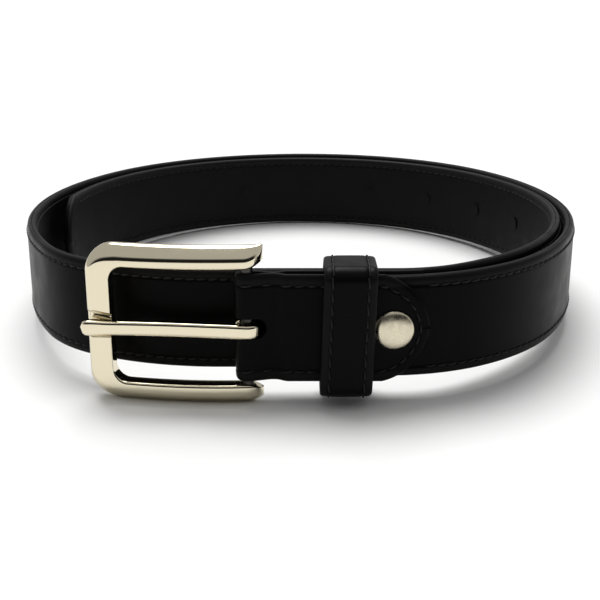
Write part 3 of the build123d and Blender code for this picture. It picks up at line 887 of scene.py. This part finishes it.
def bow_at(u):
    """How far the bowed middle surface stands out at a place along the buckle."""
    middle = (BUCKLE_LEFT - BUCKLE_RIGHT) / 2
    reach = (BUCKLE_LEFT + BUCKLE_RIGHT) / 2 + 2
    rise = BOW + END_DIP
    radius = (reach ** 2 + rise ** 2) / (2 * rise)
    return BOW - radius + np.sqrt(radius ** 2 - (u - middle) ** 2)


def soft_corners(corners, count=7):
    """A section's corners (across, depth, take) as points, each corner eased over its take."""
    points = []
    for i, (x, y, take) in enumerate(corners):
        here = np.array([x, y])
        before = np.array(corners[i - 1][:2]) - here
        after = np.array(corners[(i + 1) % len(corners)][:2]) - here
        start = here + before / np.linalg.norm(before) * take
        end = here + after / np.linalg.norm(after) * take
        for t in np.linspace(0, 1, count):
            points.append((1 - t) ** 2 * start + 2 * t * (1 - t) * here + t ** 2 * end)
    return np.array(points)


def frame_section(width, bar_share, notch):
    """The frame's section, from its inner edge to its outer edge: an arm, a bar or between."""
    ridge = (1 - bar_share) * 3.6 + bar_share * (width - 1.2)
    outer = (1 - bar_share) * -0.9 + bar_share * 1.6
    front = FRAME_FRONT - notch
    return soft_corners([
        (0.0, -FRAME_BACK, 0.7), (0.0, front, 1.2 - 0.6 * bar_share), (ridge, front, 1.6 - 0.6 * bar_share),
        (width, min(outer, front - 0.3), 1.0), (width, -FRAME_BACK, 0.5),
    ])


def frame_stations():
    """Matched places on the frame's inner and outer outline, from the lower end to the upper."""
    arm = BUCKLE_LEFT - SIDE_BAR - INNER_CORNER
    inner_z, outer_z = HALF_INNER - INNER_CORNER, HALF_HEIGHT - OUTER_CORNER
    found = []
    end_steps = BUCKLE_RIGHT * -1 + 5.0 * (1 - np.cos(np.linspace(0.02, math.pi / 2, 12)))
    for u in end_steps:
        found.append(((u, -HALF_INNER), (u, -HALF_HEIGHT), 0.0))
    for t in np.linspace(0, 1, 22)[1:]:
        start = end_steps[-1]
        found.append(((start + t * (arm - start), -HALF_INNER),
                      (start + t * (BUCKLE_LEFT - OUTER_CORNER - start), -HALF_HEIGHT), 0.0))
    for turn in np.linspace(0, math.pi / 2, 17)[1:]:
        share = (1 - math.cos(2 * turn)) / 2
        found.append(((arm + INNER_CORNER * math.sin(turn), -inner_z - INNER_CORNER * math.cos(turn)),
                      (BUCKLE_LEFT - OUTER_CORNER + OUTER_CORNER * math.sin(turn),
                       -outer_z - OUTER_CORNER * math.cos(turn)), share))
    for t in np.concatenate([np.linspace(-1, -0.32, 8)[1:], np.linspace(-0.3, 0, 14)]):
        found.append(((BUCKLE_LEFT - SIDE_BAR, inner_z * t), (BUCKLE_LEFT, outer_z * t), 1.0))
    return found + [((i[0], -i[1]), (o[0], -o[1]), share) for i, o, share in reversed(found[:-1])]


frame_rings = []
for inner, outer, share in frame_stations():
    inner, outer = np.array(inner), np.array(outer)
    width = np.linalg.norm(outer - inner)
    height = (inner[1] + outer[1]) / 2
    dip = float(np.clip((4.1 - abs(height)) / 1.2, 0, 1)) if share > 0.99 else 0.0
    notch = NOTCH_DEPTH * dip ** 2 * (3 - 2 * dip)
    section = frame_section(width, share, notch)
    gone = float(np.clip((inner[0] + BUCKLE_RIGHT) / 5.0, 0, 1))
    full = math.sqrt(max(0.0, 1 - (1 - gone) ** 2)) if share < 0.5 else 1.0
    depth = -FRAME_BACK + (section[:, 1] + FRAME_BACK) * (0.12 + 0.88 * full)
    flat = inner + (outer - inner) * (section[:, :1] / width)
    # The lower end rounds up off the floor, and the inner edges sweep outwards.
    sweep = 2.2 * (1 - gone) ** 2 * np.sign(height)
    flat[:, 1] += sweep * (1 - section[:, 0] / width)
    if height < 0:
        flat[:, 1] += 1.6 * (1 - gone) ** 2 * section[:, 0] / width
    frame_rings.append(on_buckle(flat[:, 0], flat[:, 1], bow_at(flat[:, 0]) + depth))
frame_mesh = skin(np.array(frame_rings), cap_start=True, cap_end=True)
close_up(frame_mesh, 1e-6)
bright_nickel = plated("bright_nickel_plate", "#e0d7be", 0.07, 3.0, 0.06)
hand_over(to_object(frame_mesh, "buckle_casting", 60), bright_nickel, "buckle", "nickel", "buckle_frame")

# The heel bar is drawn steel wire, pressed into the two arms.
drawn_steel = plated("drawn_steel", "#4a4844", 0.35, 0.6, 0.25)
heel_bar = frame["nodes"]["heel_bar"]
heel_bar.data.materials.clear()
heel_bar.data.materials.append(drawn_steel)

# ---------------------------------------------------------------- prong
# Cast with the same nickel finish. Its root is bent round the heel bar and passes out through
# the chape's slot; its tongue is bowed, flat on top with eased edges, and its tip is a rounded
# thumb that turns down over the left bar.
PRONG_HEIGHT = 4.4
EYE_OUTER = 4.5
EYE_BORE = 1.95
PRONG_REACH = 51.0
PRONG_THICKNESS = 3.2
eye_middle = (EYE_OUTER + EYE_BORE) / 2
PRONG_DROP = 0.9
tongue_u, tongue_out = arc_through((0, eye_middle), (PRONG_REACH / 2, 2.5), (PRONG_REACH, 4.0), 60)
wrap = np.radians(np.linspace(8, 262, 34))
line_u = np.concatenate([eye_middle * np.cos(-wrap), tongue_u])
line_out = np.concatenate([eye_middle * np.sin(-wrap), tongue_out])
step_u, step_out = np.gradient(line_u), np.gradient(line_out)
length = np.hypot(step_u, step_out)
side_u, side_out = -step_out / length, step_u / length
prong_rings = []
for i, (u, out) in enumerate(zip(line_u, line_out)):
    on_tongue = max(0.0, (i - len(wrap)) / len(tongue_u))
    thick = (EYE_OUTER - EYE_BORE) + (PRONG_THICKNESS - EYE_OUTER + EYE_BORE) * min(1.0, on_tongue * 4)
    tip = float(np.clip((u - (PRONG_REACH - 2.4)) / 2.4, 0, 1)) if on_tongue > 0.5 else 0.0
    bulb = 1 + 0.1 * float(np.clip((u - 42) / 5, 0, 1)) if on_tongue > 0.5 else 1.0
    small = math.sqrt(max(0.0004, 1 - tip ** 2))
    root = math.sqrt(max(0.0004, 1 - max(0.0, 1 - i / 3) ** 2)) if i < 3 else 1.0
    h, t = PRONG_HEIGHT / 2 * bulb * small * root, thick / 2 * small * root
    section = soft_corners([
        (-h, t, min(1.15, h * 0.6)), (h, t, min(1.15, h * 0.6)),
        (h, -t, min(0.9, h * 0.5)), (-h, -t, min(0.9, h * 0.5)),
    ], 6)
    drop = 0.3 * tip ** 2
    prong_rings.append(on_buckle(
        u + side_u[i] * section[:, 1], section[:, 0] - PRONG_DROP, out - drop + side_out[i] * section[:, 1]
    ))
prong_mesh = skin(np.array(prong_rings), cap_start=True, cap_end=True)
close_up(prong_mesh, 1e-6)
hand_over(to_object(prong_mesh, "prong_casting", 60), bright_nickel, "prong", "nickel", "prong")

# ---------------------------------------------------------------- floor, light and camera
# A plain white table in an evenly white studio, with a dark gap in the light on the near side
# that draws the dark lines along the polished arms.
floor_size = 6.0
floor_mesh = bmesh.new()
bmesh.ops.create_grid(floor_mesh, x_segments=1, y_segments=1, size=floor_size)
floor = to_object(floor_mesh, "floor")
paper, _, paper_shader, _ = new_material("white_table")
paper_shader.inputs["Base Color"].default_value = (0.93, 0.93, 0.925, 1)
paper_shader.inputs["Roughness"].default_value = 0.6
paper_shader.inputs["Specular IOR Level"].default_value = 0.1
floor.data.materials.append(paper)

STUDIO_GLOW = 0.5
GAP_GLOW = 0.015
world = bpy.data.worlds.new("studio")
bpy.context.scene.world = world
world.use_nodes = True
sky = world.node_tree
sky.nodes.clear()
where = add_node(sky, "ShaderNodeTexCoord").outputs["Generated"]
parts = add_node(sky, "ShaderNodeSeparateXYZ", Vector=where)
above = add_node(
    sky, "ShaderNodeMapRange", {"interpolation_type": "SMOOTHSTEP"},
    in0=parts.outputs["Z"], in1=0.5, in2=0.75, in3=1.0, in4=0.0,
)
low = add_node(
    sky, "ShaderNodeMapRange", {"interpolation_type": "SMOOTHSTEP"},
    in0=parts.outputs["Z"], in1=-0.02, in2=0.05, in3=0.0, in4=1.0,
)
near_side = add_node(
    sky, "ShaderNodeMapRange", {"interpolation_type": "SMOOTHSTEP"},
    in0=parts.outputs["Y"], in1=-0.55, in2=-0.15, in3=1.0, in4=0.0,
)
gap = add_node(sky, "ShaderNodeMath", {"operation": "MULTIPLY"}, in0=above.outputs[0], in1=low.outputs[0])
gap = add_node(sky, "ShaderNodeMath", {"operation": "MULTIPLY"}, in0=gap.outputs[0], in1=near_side.outputs[0])
glow = add_node(
    sky, "ShaderNodeMapRange", in0=gap.outputs[0], in1=0.0, in2=1.0, in3=STUDIO_GLOW, in4=GAP_GLOW,
)
background = add_node(
    sky, "ShaderNodeBackground", Color=(1, 1, 1, 1), Strength=glow.outputs[0]
)
add_node(sky, "ShaderNodeOutputWorld", Surface=background.outputs[0])

# One broad lamp high behind the belt gives the soft shadows in front of it.
LAMP_SPREAD = 40
LAMP_STRENGTH = 2.7
lamp_data = bpy.data.lights.new("overhead_diffuser", "SUN")
lamp_data.angle = math.radians(LAMP_SPREAD)
lamp_data.energy = LAMP_STRENGTH
lamp = bpy.data.objects.new("overhead_diffuser", lamp_data)
lamp.rotation_euler = (math.radians(-24), math.radians(-6), 0)
bpy.context.scene.collection.objects.link(lamp)

LENS = 61.2
CAMERA_PITCH = 17.6
CAMERA_PLACE = (0.0, -402.4, 117.1)
camera_data = bpy.data.cameras.new("camera")
camera_data.lens = LENS
camera_data.sensor_width = 36
camera = bpy.data.objects.new("camera", camera_data)
pitch = math.radians(CAMERA_PITCH)
view_axes = np.array([
    [1, 0, 0], [0, math.sin(pitch), math.cos(pitch)], [0, -math.cos(pitch), math.sin(pitch)]
])
turn = Matrix((view_axes @ belt_axes).T.tolist()).to_4x4()
camera.matrix_world = Matrix.Translation(Vector(stand(CAMERA_PLACE))) @ turn
bpy.context.scene.collection.objects.link(camera)
bpy.context.scene.camera = camera
bpy.context.scene.view_settings.view_transform = "Standard"
